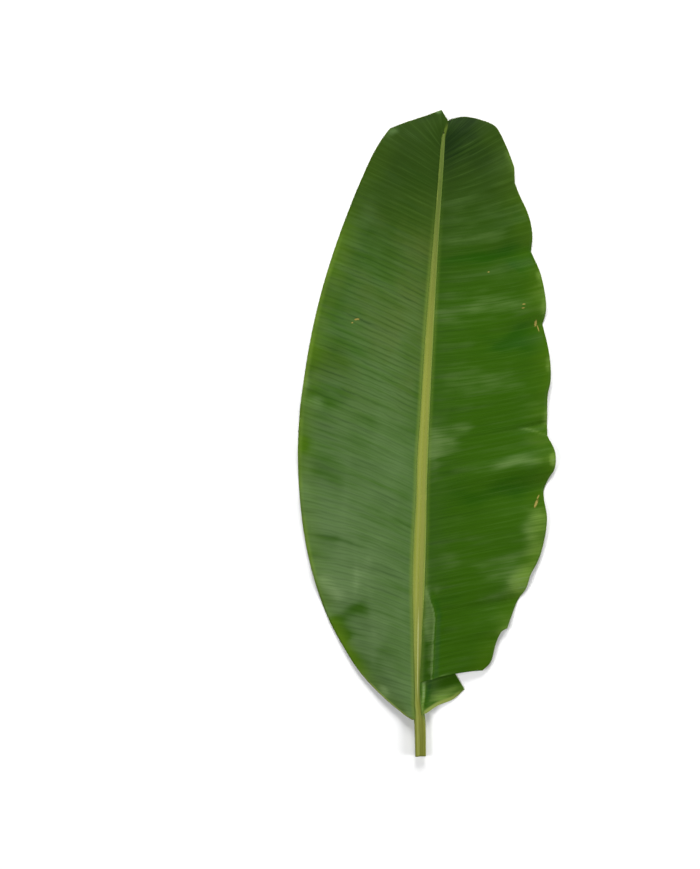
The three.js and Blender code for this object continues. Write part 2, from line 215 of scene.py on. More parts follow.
# Soft patches of painted sheen and painted shade on the upper face:
# (x, y, half length, half width, turn in degrees, tone).
# A tone above 0 is painted sheen, dull and pale, and one below 0 is painted shade, deep and clear.
LEFT_SHEEN_SHADE = [
    (-118, 229, 62, 42, 70, 0.5), (-157, 343, 46, 40, 0, 0.3), (-130, 575, 56, 60, 0, -0.12),
    (-78, 142, 34, 22, 60, 0.45), (-132, 176, 56, 15, 26, -0.65), (-161, 184, 15, 13, 0, 0.6),
    (-140, 140, 48, 16, -52, -1.0), (-183, 623, 30, 22, 15, -0.35), (-205, 410, 13, 62, 0, 0.5),
    (-190, 286, 15, 56, 10, 0.55), (-172, 228, 20, 18, 0, 0.9), (-206, 566, 8, 24, 0, 0.5),
    (-46, 34, 45, 10, -41, 0.5), (-20, 800, 60, 90, 0, 0.14), (-60, 470, 90, 40, 85, 0.18),
    (-110, 860, 60, 36, 60, 0.1), (-150, 700, 60, 26, 70, -0.18), (-36, 60, 40, 14, -45, 0.3),
    (-182, 562, 34, 13, -20, -0.6), (-203, 477, 11, 15, -20, -0.6), (-172, 424, 38, 18, -20, -0.3),
    (-156, 312, 58, 6, -14, -0.55), (-164, 333, 56, 4.5, -12, 0.3), (-186, 288, 14, 16, 0, -0.4),
    (-85, 262, 50, 62, 0, 0.26), (-160, 400, 50, 30, -20, 0.2), (-90, 900, 50, 30, 60, 0.16),
    (-84, 180, 90, 7, 92, 0.2), (-132, 330, 110, 8, 88, 0.16), (-112, 250, 60, 5, 92, 0.14),
    (-146, 218, 14, 18, 0, 0.5), (-34, 172, 14, 36, 0, 0.24), (-24, 2, 14, 9, -30, 0.9),
    (-200, 580, 7, 30, 12, 0.3), (34, 1056, 7, 5, 12, 0.9), (-136, 627, 26, 24, 0, -0.3),
    (-118, 126, 12, 12, 0, 0.7), (-164, 176, 9, 12, 20, 0.6), (-62, 44, 12, 9, -40, 0.6),
    (-176, 552, 12, 10, 0, 0.5), (-191, 650, 8, 12, 0, -0.5), (9, 1046, 20, 8, 14, -0.5),
    (-50, 1022, 14, 7, 22, 0.6),
]
RIGHT_SHEEN_SHADE = [
    (80, 836, 70, 20, 8, 0.24), (62, 895, 40, 24, 12, 0.12), (112, 714, 96, 28, 8, 0.3),
    (100, 580, 80, 28, 8, 0.2), (58, 488, 36, 22, 30, 0.4), (160, 441, 46, 12, 9, 0.5),
    (206, 340, 20, 34, 5, 0.6), (60, 280, 22, 22, 0, 0.2), (148, 268, 60, 24, 10, 0.28),
    (180, 234, 26, 15, 30, 1.15), (135, 806, 86, 13, 9, -0.9), (178, 655, 66, 24, 8, -1.0),
    (178, 402, 84, 24, 9, -0.65), (90, 1002, 60, 40, 0, -0.3), (70, 385, 50, 26, 6, -0.3),
    (172, 872, 18, 30, 10, -0.7), (70, 1030, 30, 14, 0, -0.9), (24, 466, 15, 38, 0, 0.55),
    (14, 180, 7, 52, 0, 0.95), (196, 300, 14, 44, 10, 0.3), (184, 785, 16, 30, 10, -0.6),
    (120, 500, 70, 9, 14, -0.35), (46, 196, 40, 16, 6, -0.25), (190, 560, 26, 60, 0, 0.12),
    (190, 500, 34, 2.6, -14, 0.42), (24, 214, 12, 8, 70, 0.3), (130, 215, 46, 50, 20, 0.16),
    (233, 446, 7, 20, -8, 1.0), (211, 766, 7, 22, 14, 0.4), (219, 716, 7, 22, -4, 0.45),
    (160, 970, 9, 26, 28, 0.35), (176, 789, 24, 9, 9, -0.7), (204, 662, 22, 14, 9, -1.2),
    (206, 371, 14, 9, 9, -0.8), (88, 680, 56, 70, 0, 0.14), (36, 430, 18, 12, 9, -0.35),
    (206, 578, 14, 22, 6, -0.5), (152, 150, 12, 8, 20, 0.45), (160, 194, 20, 8, 15, -0.5),
    (58, 1034, 26, 14, 0, -0.5), (48, 486, 26, 16, 20, 0.3), (18, 70, 10, 6, 0, -0.5),
    (226, 612, 5, 18, 4, 0.8), (222, 522, 5, 14, 0, 0.7), (236, 440, 5, 14, -8, 0.6),
]
STRIP_SHEEN_SHADE = [
    (6, 36, 3, 26, -4, 1.5), (14, 42, 4, 20, -18, -1.1), (40, 38, 30, 13, 31, 0.9),
    (62, 64, 16, 12, 0, -0.5),
]
SHEEN_SHADE = {"left": LEFT_SHEEN_SHADE, "right": RIGHT_SHEEN_SHADE, "strip": STRIP_SHEEN_SHADE}

# Half width of the painted highlight along the crest, and its run past the crest's top
CREST_HIGHLIGHT_HALF = 1.9
CREST_FADE = 20.0

# Mesh steps of the midrib: (near the stalk, beyond it, y of the change)
STATION_STEPS = (2.5, 5.0, 160.0)

# The camera looks straight down and stands left of the leaf.
CAMERA_PLACE = (-0.1337, -0.0029)
CAMERA_LENS = 85.0
FLOOR_HALF = 6.0
FLOOR_LINES = 13
FLOOR_DROP = 0.0002
ROOM_COLOUR = (0.96, 0.98, 1.0, 1.0)
# Soft lights: (name, place, point it is turned to, size)
LIGHTS = [
    ("sheen_light", (-1.75, -0.35, 2.4), (-0.05, -0.1, 0.0), 1.2),
    ("top_light", (0.1, 2.9, 2.0), (0.0, 0.0, 0.0), 1.8),
    ("fill_light", (2.8, -0.6, 1.6), (0.0, 0.0, 0.0), 1.8),
]


def linear(red, green, blue):
    """Scene colour of a screen colour given in parts of 255."""
    return tuple(
        c / 12.92 if c <= 0.04045 else ((c + 0.055) / 1.055) ** 2.4
        for c in (red / 255, green / 255, blue / 255)
    )


# Curves and heights


def smooth(value):
    """Eases from 0 to 1 as the value goes from 0 to 1."""
    held = np.clip(value, 0.0, 1.0)
    return held * held * (3 - 2 * held)


def bell(distance, width):
    """1 at no distance, and near 0 from about twice the width on."""
    return np.exp(-((distance / width) ** 2))


def turned(x, y, turn):
    """The same place in axes that are turned by so many degrees."""
    c, s = math.cos(math.radians(turn)), math.sin(math.radians(turn))
    return x * c + y * s, y * c - x * s


def cubic(a, b, leave, arrive, u):
    """Points at u on a curve from a to b that leaves and arrives in the given directions."""
    bend = 3 * (b - a) - 2 * leave - arrive
    return a + leave * u + bend * u**2 + (2 * (a - b) + leave + arrive) * u**3


def along(knots, y):
    """Values at y of a smooth curve through the knots."""
    table = np.array(knots, float)
    ys, vs = table[:, 0], table[:, 1]
    before = np.r_[0, np.arange(len(ys) - 1)]
    after = np.r_[np.arange(1, len(ys)), len(ys) - 1]
    slopes = (vs[after] - vs[before]) / (ys[after] - ys[before])
    k = np.clip(np.searchsorted(ys, y), 1, len(ys) - 1)
    gap = ys[k] - ys[k - 1]
    u = np.clip((y - ys[k - 1]) / gap, 0, 1)
    s = u * u * (3 - 2 * u)
    bend = (1 - u) * slopes[k - 1] - u * slopes[k]
    return vs[k - 1] * (1 - s) + vs[k] * s + gap * u * (1 - u) * bend


def midrib_at(y):
    """Measures of the midrib at y: middle, half widths, channel, height, lift and seat."""
    point = END_SHARE + (1 - END_SHARE) * np.clip((MIDRIB_TIP - y) / TIP_TAPER, 0, 1)
    depth = along(DEPTH, y)
    (low, low_from, low_run), (high, high_from, high_run) = STALK_LIFT, TIP_LIFT
    lift = low * smooth((low_from - y) / low_run) + high * smooth((y - high_from) / high_run)
    drop = np.minimum(SEAT_DROP, SEAT_SHARE * depth)
    return {
        "x": along(CENTRE, y), "channel": along(CHANNEL, y),
        "rim": along(RIM_WIDTH, y) / 2 * point, "body": along(BODY_WIDTH, y) / 2 * point,
        "depth": depth, "lift": lift, "drop": drop, "seat": lift + depth - drop,
    }


def smooth_stretch(knots, fineness=24):
    """Points along a smooth curve through the knots of one stretch."""
    p = np.array(knots, float)
    p = np.vstack([2 * p[0] - p[1], p, 2 * p[-1] - p[-2]])
    found = []
    for a, b, c, d in zip(p, p[1:], p[2:], p[3:]):
        ab, bc, cd = (np.linalg.norm(q - r) ** 0.5 for q, r in ((b, a), (c, b), (d, c)))
        start = ((b - a) / ab - (c - a) / (ab + bc) + (c - b) / bc) * bc
        end = ((c - b) / bc - (d - b) / (bc + cd) + (d - c) / cd) * bc
        u = np.linspace(0, 1, fineness, endpoint=False)[:, None]
        found.append(cubic(b, c, start, end, u))
    return np.vstack([*found, p[-2]])


def vein_rows(edge, pitch):
    """Rows of one part of the blade: where each vein meets the edge, and its root."""
    rows, corner = [], None
    for stretch in edge:
        knots = ([corner] if corner else []) + list(stretch)
        corner = knots[-1]
        path = smooth_stretch(knots)
        run = np.r_[0, np.cumsum(np.linalg.norm(np.diff(path, axis=0), axis=1))]
        steps = max(2, round(run[-1] / math.sqrt(2) / pitch))
        at = np.linspace(0, run[-1], steps + 1)[1 if rows else 0:]
        rows.append(np.column_stack([np.interp(at, run, path[:, i]) for i in range(3)]))
    return np.vstack(rows)


def fold_height(folds, root, t):
    """Height that the folds along the veins add, growing toward the edge."""
    total = np.zeros(np.broadcast(root, t).shape)
    for at, height, half, start in folds:
        total += height * bell(root - at, half) * smooth((t - start) / (FOLD_FULL - start))
    return total


def crest_share(root, out):
    """How far each point rises in the crest of the torn flap, from 0 to 1."""
    near = smooth((CREST_TOP - root) / (CREST_TOP - CREST_BEND))
    ridge = np.maximum(CREST_OUT * near, 0.5)
    inner = np.clip(out / ridge, 0, 1) ** CREST_SWING
    return near * inner * bell(np.maximum(out - ridge, 0), CREST_DROP)


def blade_height(part, root, t, reach):
    """Height of the middle of the blade over the floor, before its veins."""
    seat = midrib_at(root)["seat"]
    out = t * reach
    near = np.exp(-out / SEAT_REACH)
    if part == "strip":
        settle = 1 - bell(out, STRIP_FALL)
        bulge = 0.0
    else:
        settle = smooth(t)
        bulge = ARCH_RISE * reach * np.sin(np.pi * t**ARCH_LEAN) + fold_height(FOLDS[part], root, t)
    height = seat * (1 - settle) + along(LIFTS[part], root) * settle + bulge
    if part == "right":
        height = height + CREST_HEIGHT * crest_share(root, out)
    over = height - FLOOR_GAP
    held = FLOOR_GAP + (over + np.hypot(over, FLOOR_EASE)) / 2
    return seat * near + held * (1 - near)


def pleats(root, out):
    """Height of the pleats between the main veins, and of the wider swells under them."""
    drift = 1.6 * np.sin(root / 23.0) + 0.9 * np.sin(root / 9.7 + out / 70.0)
    main = np.sin(2 * np.pi * (root + drift) / VEIN_PITCH)
    wide = np.sin(2 * np.pi * (root + 2 * drift) / SWELL_PITCH + 0.8 * np.sin(out / 60.0))
    small = np.sin(2 * np.pi * (root + 0.5 * drift) / SMALL_PITCH + np.sin(out / 31.0))
    level = 0.6 + 0.4 * np.sin(root / 61.0 + out / 45.0) * np.sin(root / 37.0)
    return (MAIN_PLEAT * main * level + SMALL_PLEAT * small + WIDE_SWELL * wide) * smooth(out / 16.0)


def crest_highlight_and_shade(root, out):
    """Painted highlight along the crest and the torn edge, and painted shade outside the crest."""
    past = out - CREST_OUT * smooth((CREST_TOP - root) / (CREST_TOP - CREST_BEND))
    length = smooth((CREST_TOP + CREST_FADE - root) / (4 * CREST_FADE))
    # Painted highlight on the crest, painted shade past it, and a painted highlight on the torn edge.
    line = bell(past, CREST_HIGHLIGHT_HALF) + 0.34 * bell(past + 4, 4)
    shade = bell(past - 9, 6)
    torn = bell(root - TEAR_ROOT - 2, 1.7) * smooth((out - 18) / 8) * smooth((58 - out) / 26)
    return (0.95 * line - 0.5 * shade) * length + 0.5 * torn


def sheen_and_shade_at(part, root, x, y, out, t):
    """Painted sheen that makes the green of the upper face dull and pale, and painted shade that makes it
    deep.
    """
    sheen_and_shade = np.zeros(x.shape)
    if part == "left":
        # Broad painted sheen over the left half, fading at the edge and toward the tip, and weaker beside
        # the midrib.
        sheen_and_shade = 0.56 * smooth((1.12 - t) / 0.24) * smooth((930 - y) / 300)
        sheen_and_shade = sheen_and_shade - 0.25 * np.exp(-out / 26) * smooth((y - 380) / 160)
    if part == "right":
        # A little painted sheen toward the right edge, the crest's painted highlight and shade, and painted
        # shade beside the midrib near the tip.
        sheen_and_shade = 0.05 * smooth((t - 0.5) / 0.5) + crest_highlight_and_shade(root, out)
        sheen_and_shade = sheen_and_shade - 0.6 * bell(out, 46) * smooth((y - 900) / 100)
    # Soft patches of painted sheen and painted shade, with wavy outlines.
    for px, py, length, width, turn, amount in SHEEN_SHADE[part]:
        a, b = turned(x - px, y - py, turn)
        a = a / length + 0.22 * np.sin(y / 8.0 + x / 17.0)
        b = b / width + 0.25 * np.sin(x / 13.0 - y / 31.0)
        sheen_and_shade = sheen_and_shade + amount * np.exp(-(a**2 + b**2))
    return sheen_and_shade


def blade_sheet(part, pitch, columns):
    """Mid-blade points, with each one's root, reach out, edge distance and painted sheen and shade."""
    rows = vein_rows(EDGES[part], pitch)
    side = -1 if part == "left" else 1
    root = rows[:, 2:3]
    m = midrib_at(root)
    closed = np.clip((SHARED_ROOT - root) / 3.0, 0, 1)
    more = STRIP_LAP * smooth((24 - root) / 20) if part == "strip" else 0.0
    start = np.hstack([m["x"] + side * (m["rim"] - LAP - more) * closed, root])
    reach = np.linalg.norm(rows[:, :2] - start, axis=1)[:, None]
    share = np.linspace(0, 1, columns)[None, :]
    t = CROWDING * share**2 + (1 - CROWDING) * share
    x = start[:, :1] + (rows[:, :1] - start[:, :1]) * t
    y = start[:, 1:] + (rows[:, 1:2] - start[:, 1:]) * t + along(BOWS[part], root) * 4 * t * (1 - t)
    out = t * reach
    fade = np.minimum(1.0, reach / 60.0) * smooth((SHARED_ROOT - root) / 30.0)
    ripple = RIPPLE * np.sin(root / 7.3) * np.sin(root / 31.0 + 1.0) * smooth((t - 0.8) / 0.2)
    raised = 0.35 * (m["drop"] + more) * np.exp(-out / 2.5)
    z = blade_height(part, root, t, reach) + raised + fade * (pleats(root, out) + ripple)
    wide = np.broadcast_to(root, x.shape)
    rim = (1 - t) * reach
    if part == "strip":
        rim = np.hypot(x[..., None] - rows[:, 0], y[..., None] - rows[:, 1]).min(axis=-1)
    return np.dstack([x, y, z]), wide, out, rim, sheen_and_shade_at(part, root, x, y, out, t)


# Meshes


def grid_quads(rows, columns, first, flip):
    """Quads over a grid of points that are numbered row by row from first."""
    ids = first + np.arange(rows * columns).reshape(rows, columns)
    quads = np.stack([ids[:-1, :-1], ids[:-1, 1:], ids[1:, 1:], ids[1:, :-1]], -1).reshape(-1, 4)
    return quads[:, ::-1] if flip else quads


def new_piece(name, points, faces, skins, materials, unwrap, fields):
    """A smooth mesh in metres, in the frame, with its materials, unwrap and named fields."""
    mesh = bpy.data.meshes.new(name)
    placed = (points - np.array([*MIDDLE, 0.0])) * MM
    mesh.from_pydata(placed.tolist(), [], faces)
    mesh.update()
    for material in materials:
        mesh.materials.append(material)
    mesh.polygons.foreach_set("material_index", np.asarray(skins, np.int32))
    mesh.polygons.foreach_set("use_smooth", np.ones(len(mesh.polygons), bool))
    corners = np.zeros(len(mesh.loops), np.int32)
    mesh.loops.foreach_get("vertex_index", corners)
    layer = mesh.uv_layers.new(name="OFBake")
    layer.uv.foreach_set("vector", unwrap[corners].astype(np.float32).ravel())
    for title, values in fields.items():
        kind, key = ("FLOAT_VECTOR", "vector") if values.ndim == 2 else ("FLOAT", "value")
        field = mesh.attributes.new(title, kind, "POINT")
        field.data.foreach_set(key, values.astype(np.float32).ravel())
    if mesh.validate():
        raise RuntimeError(f"{name} has broken faces")
    piece = bpy.data.objects.new(name, mesh)
    bpy.context.scene.collection.objects.link(piece)
    return piece


def blade_piece(name, part, sizes, skins):
    """One part of the blade with an upper face, a lower face and a wall round its edge."""
    grid, root, out, rim, sheen_and_shade = blade_sheet(part, sizes.row_pitch / MM, sizes.columns)
    rows, columns = grid.shape[:2]
    flip = part == "left"
    lengthwise = np.gradient(grid, axis=0)
    crosswise = np.gradient(grid, axis=1)
    normal = np.cross(crosswise, lengthwise) * (-1 if flip else 1)
    normal /= np.maximum(np.linalg.norm(normal, axis=2, keepdims=True), 1e-9)
    half = sizes.blade_thickness / MM / 2
    skin = normal * half * (EDGE_SHARE + (1 - EDGE_SHARE) * smooth(rim / EDGE_TAPER))[..., None]
    points = np.concatenate([grid + skin, grid - skin]).reshape(-1, 3)
    count = rows * columns
    top = grid_quads(rows, columns, 0, flip)
    bottom = grid_quads(rows, columns, count, not flip)
    ids = np.arange(count).reshape(rows, columns)
    ring = np.concatenate([ids[0, :], ids[1:, -1], ids[-1, -2::-1], ids[-2:0:-1, 0]])
    if flip:
        ring = ring[::-1]
    ahead = np.roll(ring, -1)
    walls = np.stack([ring, ring + count, ahead + count, ahead], 1)
    faces = [*top.tolist(), *bottom.tolist(), *walls.tolist()]
    kinds = [0] * len(top) + [1] * len(bottom) + [0] * len(walls)
    u = np.repeat(np.linspace(0.002, 0.998, rows), columns)
    v = 0.49 * np.tile(np.linspace(0.0, 1.0, columns), rows)
    unwrap = np.vstack([np.column_stack([u, 0.004 + v]), np.column_stack([u, 0.996 - v])])
    side = np.full(count, -1.0 if flip else 1.0)
    vein = np.column_stack([root.ravel() * MM, out.ravel() * MM, side])
    fields = {"vein": vein, "rim": rim.ravel() * MM, "sheen_and_shade": sheen_and_shade.ravel()}
    fields = {title: np.concatenate([values, values]) for title, values in fields.items()}
    piece = new_piece(name, points, faces, kinds, skins, unwrap, fields)
    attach(piece, "root")
    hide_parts("blade")
    return piece


def midrib_profile(y):
    """Half-round keel with a channelled top at y, as offsets and heights going once round."""
    m = {key: float(value) for key, value in midrib_at(np.array(y)).items()}
    low = m["depth"] - 1.6 * m["drop"]
    top = [
        (x * m["rim"], m["depth"] - down * m["channel"] - step * m["drop"])
        for x, down, step in TOP_SECTION
    ]
    side = [(m["rim"], low), *((x * m["body"], z * low) for x, z in SIDE_SECTION)]
    side.append((min(KEEL_HALF, 0.4 * m["body"]), 0.0))
    ring = np.array([*top, *side, *((-x, z) for x, z in reversed(side))])
    straight = (len(top) - 1, len(top) + len(side) - 1, len(ring) - 1)
    behind, ahead, beyond = (np.roll(ring, step, axis=0) for step in (1, -1, -2))
    u = np.linspace(0, 1, 4, endpoint=False)[:, None]
    found = []
    for i, (a, b) in enumerate(zip(ring, ahead)):
        if i in straight:
            found.append(a + (b - a) * u)
        else:
            found.append(cubic(a, b, (b - behind[i]) * 0.35, (beyond[i] - a) * 0.35, u))
    section = np.vstack(found)
    section[:, 1] = np.maximum(section[:, 1], 0.0)
    return m["x"], m["lift"], section


def midrib_piece(materials):
    """The stalk and midrib in one piece, with a dished cut end."""
    fine, coarse, change = STATION_STEPS
    stations = np.r_[
        np.arange(STALK_CUT, change, fine), np.arange(change, MIDRIB_TIP - TIP_TAPER, coarse),
        np.linspace(MIDRIB_TIP - TIP_TAPER, MIDRIB_TIP, 5),
    ]
    rings, sections = [], []
    for y in stations:
        x, lift, section = midrib_profile(y)
        slant = CUT_SLANT * (1 - smooth((y - STALK_CUT) / 8.0))
        rings.append(np.column_stack([x + section[:, 0], y + slant * section[:, 0], lift + section[:, 1]]))
        sections.append(section)
    size = len(rings[0])
    ids = np.arange(len(rings) * size).reshape(len(rings), size)
    ahead = np.roll(ids, -1, axis=1)
    faces = np.stack([ids[:-1], ahead[:-1], ahead[1:], ids[1:]], -1).reshape(-1, 4).tolist()
    skins = [0] * len(faces)
    end, middle, outer = rings[0], rings[0].mean(axis=0), ids[0]
    for shrink, dish in CUT_RINGS:
        inner = len(rings) * size + np.arange(size)
        rings.append(middle + (end - middle) * shrink + np.array([0.0, dish, 0.0]))
        sections.append(sections[0] * shrink)
        faces += np.stack([np.roll(outer, -1), outer, inner, np.roll(inner, -1)], -1).tolist()
        skins += [1] * size
        outer = inner
    faces += [outer[::-1].tolist(), ids[-1].tolist()]
    skins += [1, 0]
    y = np.repeat(np.r_[stations, np.full(len(CUT_RINGS), STALK_CUT)], size)
    section = np.vstack(sections)
    turn = np.tile(np.linspace(0, 1, size), len(rings))
    unwrap = np.column_stack([
        (y - STALK_CUT) / (MIDRIB_TIP - STALK_CUT) * 0.93 + 0.06, 0.02 + 0.9 * turn,
    ])
    cut = np.arange(len(y)) >= len(stations) * size
    unwrap[cut] = np.array([0.025, 0.96]) + section[cut] * MM
    fields = {
        "fibre": np.column_stack([section[:, 0], y, section[:, 1]]) * MM,
        "aside": np.abs(section[:, 0]) / midrib_at(y)["rim"],
        "raised": section[:, 1] / along(DEPTH, y),
    }
    piece = new_piece("midrib_and_stalk", np.vstack(rings), faces, skins, materials, unwrap, fields)
    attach(piece, "root")
    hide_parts("midrib")
    return piece


# Materials


class Wire:
    """A value in a material. Sums of values add the nodes that work them out."""

    def __init__(self, board, socket):
        self.board = board
        self.socket = socket

    def maths(self, operation, *values):
        return self.board.add("ShaderNodeMath", {"operation": operation}, dict(enumerate(values)))

    def __add__(self, other):
        return self.maths("ADD", self, other)

    def __sub__(self, other):
        return self.maths("SUBTRACT", self, other)

    def __rsub__(self, other):
        return self.maths("SUBTRACT", other, self)

    def __mul__(self, other):
        return self.maths("MULTIPLY", self, other)

    def __truediv__(self, other):
        return self.maths("DIVIDE", self, other)

    def __pow__(self, other):
        return self.maths("POWER", self, other)

    def __abs__(self):
        return self.maths("ABSOLUTE", self)

    __radd__ = __add__
    __rmul__ = __mul__

    def sine(self):
        return self.maths("SINE", self)

    def larger(self, other):
        return self.maths("MAXIMUM", self, other)

    def within(self, low, high):
        """Smooth step from 0 at low to 1 at high, also where high is the smaller."""
        ends = {1: min(low, high), 2: max(low, high), 3: float(low > high), 4: float(low < high)}
        return self.board.add("ShaderNodeMapRange", {"interpolation_type": "SMOOTHSTEP"}, {0: self, **ends})


class Board:
    """A material with one shader, built up from wires, and the colour it has got so far."""

    def __init__(self, name):
        self.material = bpy.data.materials.new(name)
        self.material.use_nodes = True
        self.tree = self.material.node_tree
        self.shader = next(n for n in self.tree.nodes if n.type == "BSDF_PRINCIPLED")
        self.colour = None

    def add(self, kind, settings=None, sockets=None, output=0):
        """A node of that kind with its settings first, then its sockets' values or wires."""
        node = self.tree.nodes.new(kind)
        for key, value in (settings or {}).items():
            setattr(node, key, value)
        for key, value in (sockets or {}).items():
            self.feed(node.inputs[key], value)
        return Wire(self, node.outputs[output])

    def feed(self, socket, value):
        if isinstance(value, Wire):
            self.tree.links.new(value.socket, socket)
        elif socket.type == "RGBA" and len(value) == 3:
            socket.default_value = (*value, 1.0)
        else:
            socket.default_value = value

    def surface(self, **values):
        """Feeds the shader with the board's colour and these values."""
        for key, value in {"Base_Color": self.colour, **values}.items():
            self.feed(self.shader.inputs[key.replace("_", " ")], value)

    def field(self, name, output="Vector"):
        return self.add("ShaderNodeAttribute", {"attribute_name": name}, output=output)

    def parts(self, vector):
        split = self.add("ShaderNodeSeparateXYZ", sockets={0: vector})
        return [Wire(self, socket) for socket in split.socket.node.outputs]

    def vector(self, x, y, z):
        return self.add("ShaderNodeCombineXYZ", sockets={0: x, 1: y, 2: z})

    def place(self):
        """Place of each point in the frame."""
        return self.add("ShaderNodeTexCoord", output="Object")

    def noise(self, vector, scale, detail=3.0, roughness=0.5):
        sockets = {"Vector": vector, "Scale": scale, "Detail": detail, "Roughness": roughness}
        return self.add("ShaderNodeTexNoise", None, sockets, "Fac")

    def blend(self, share, low, high):
        """Colour that goes from low to high with share."""
        return self.add("ShaderNodeMix", {"data_type": "RGBA"}, {0: share, 6: low, 7: high}, 2)

    def coat(self, share, colour):
        """Lays a share of a colour over the colour so far."""
        self.colour = self.blend(share, self.colour, colour)

    def bump(self, height, distance, strength=1.0, normal=None):
        sockets = {"Height": height, "Distance": distance, "Strength": strength}
        if normal is not None:
            sockets["Normal"] = normal
        return self.add("ShaderNodeBump", sockets=sockets)


class BladeBoard(Board):
    """A board with the wires that both faces of the blade use."""

    def __init__(self, name):
        super().__init__(name)
        self.spot = self.place()
        self.root, self.out, self.side = self.parts(self.field("vein"))
        self.rim = self.field("rim", "Fac")
        self.streak = self.drawn_noise(330.0, 9.0, 3.0)

    def drawn_noise(self, across, lengthwise, detail, roughness=0.5):
        """Noise drawn out along the veins."""
        drawn = self.vector(self.root * across, self.out * lengthwise, self.side)
        return self.noise(drawn, 1.0, detail, roughness)

    def vein_waves(self, wander, shift):
        """Waves from 0 to 1 that go round once, and twice, from each main vein to the next."""
        turns = (self.root + wander) * (2 * math.pi / (VEIN_PITCH * MM))
        return (turns + shift).sine() * 0.5 + 0.5, (turns * 2.0 + 0.6).sine() * 0.5 + 0.5


class UpperBoard(BladeBoard):
    """The board of the upper face, with the shares and noises that its layers use."""

    def __init__(self, name):
        super().__init__(name)
        tear = TEAR_ROOT * MM
        self.x, self.y, _ = self.parts(self.spot)
        self.left = self.side.within(0.2, -0.2)
        self.strip = self.side.within(-0.2, 0.2) * self.root.within(tear + 0.0003, tear - 0.0003)
        self.calm = self.y.within(0.56, 0.36) * 0.6 + 0.4
        self.patch = self.noise(self.spot, 34.0, 4.0)
        self.band = self.drawn_noise(62.0, 7.0, 2.0, 0.6)
        self.hair = self.drawn_noise(900.0, 12.0, 2.0)
        self.dashes = self.drawn_noise(46.0, 24.0, 2.0)
        drift = (self.root * 43.5).sine() * 0.0016 + (self.root * 103.0 + self.out * 14.0).sine() * 0.0009
        # The quarter-wave shift sets the dark vein lines on the pleat sides that face away from the top
        # light, so they carry painted shade as well as veins.
        self.main, self.half = self.vein_waves(drift + (self.dashes - 0.5) * 0.006, 1.57)

    def turned_at(self, x, y, turn):
        """Place of each point from x and y of the leaf, in axes turned there."""
        return turned(self.x - (x - MIDDLE[0]) * MM, self.y - (y - MIDDLE[1]) * MM, turn)


def sheen_and_shade_layer(board, colours):
    """Main green, with painted sheen on the crests of the folds and painted shade, a deep green, in the
    hollows.
    """
    y, left, streak, band = board.y, board.left, board.streak, board.band
    cloud = board.noise(board.spot, 8.0, 4.0)
    bright = (1.0 - left) * (streak.within(0.3, 0.7) - 0.5) * 0.36
    # Painted sheen and painted shade carried from the mesh, broken up along the veins and by noise.
    sheen_and_shade = board.field("sheen_and_shade", "Fac") * (0.6 + streak * 0.5 + band * 0.3 + bright)
    sheen_and_shade = sheen_and_shade + (cloud - 0.5) * 0.5 + (board.patch - 0.5) * 0.2
    sheen_and_shade = sheen_and_shade + ((streak - 0.5) * 0.16 + (band - 0.5) * (1.15 - left * 0.45)) * board.calm
    board.colour = board.blend(y.within(0.18, 0.5), colours.green, colours.tip_green)
    warm = (board.rim.within(0.05, 0.006) * 0.6 + 0.4) * (1.0 - left)
    # Painted sheen: grey-green, yellower toward the right edge.
    bloom_and_sheen = board.blend(warm, colours.sheen_grey, colours.warm_sheen)
    board.coat(sheen_and_shade.within(0.0, 0.95), bloom_and_sheen)
    board.coat(sheen_and_shade.within(0.95, 2.0), colours.pale_sheen)
    # Painted shade: deep green, darker toward the tip.
    painted_shade = board.blend(y.within(0.3, 0.46), colours.shade_green, colours.tip_shade)
    board.coat(sheen_and_shade.within(-0.05, -0.8), painted_shade)
    brown = board.noise(board.spot, 15.0, 3.0).within(0.4, 0.66) * 0.5 + board.out.within(0.12, 0.0) * 0.5
    brown = brown * left * y.within(0.45, 0.3) * y.within(-0.05, 0.2)
    board.coat(brown * 0.55, colours.olive)


def vein_layer(board, colours):
    """Fine dark veins, laid as painted shade on the pleats, paler green between and the light collar by the
    midrib.
    """
    y, out, left, main, streak = board.y, board.out, board.left, board.main, board.streak
    strong = 0.12 + left * (y.within(-0.06, 0.1) * y.within(0.42, 0.3) * 0.22 + 0.05)
    lines = (main ** 4.0) * board.dashes.within(0.3, 0.66) * strong
    lines = lines + (board.half ** 3.0) * board.dashes.within(0.7, 0.34) * 0.16
    lines = lines + streak.within(0.5, 0.74) * 0.2 + board.band.within(0.5, 0.75) * 0.3
    near_rib = out.within(0.09, 0.0) * (1.0 - left) * 0.5
    board.coat(lines * (0.6 + left * 0.4 + near_rib) * board.calm, colours.vein_green)
    between = (1.0 - main) ** 4.0 * streak.within(0.6, 0.35)
    board.coat(between * 0.14, colours.pale_green)
    board.coat(board.hair.within(0.5, 0.75) * 0.16, colours.pale_green)
    board.coat(board.hair.within(0.45, 0.2) * 0.2, colours.vein_green)
    collar = out.within(0.009, 0.0) * (0.3 + left * 0.25) * y.within(0.45, 0.2) * (1.0 - board.strip)
    board.coat(collar, colours.collar)


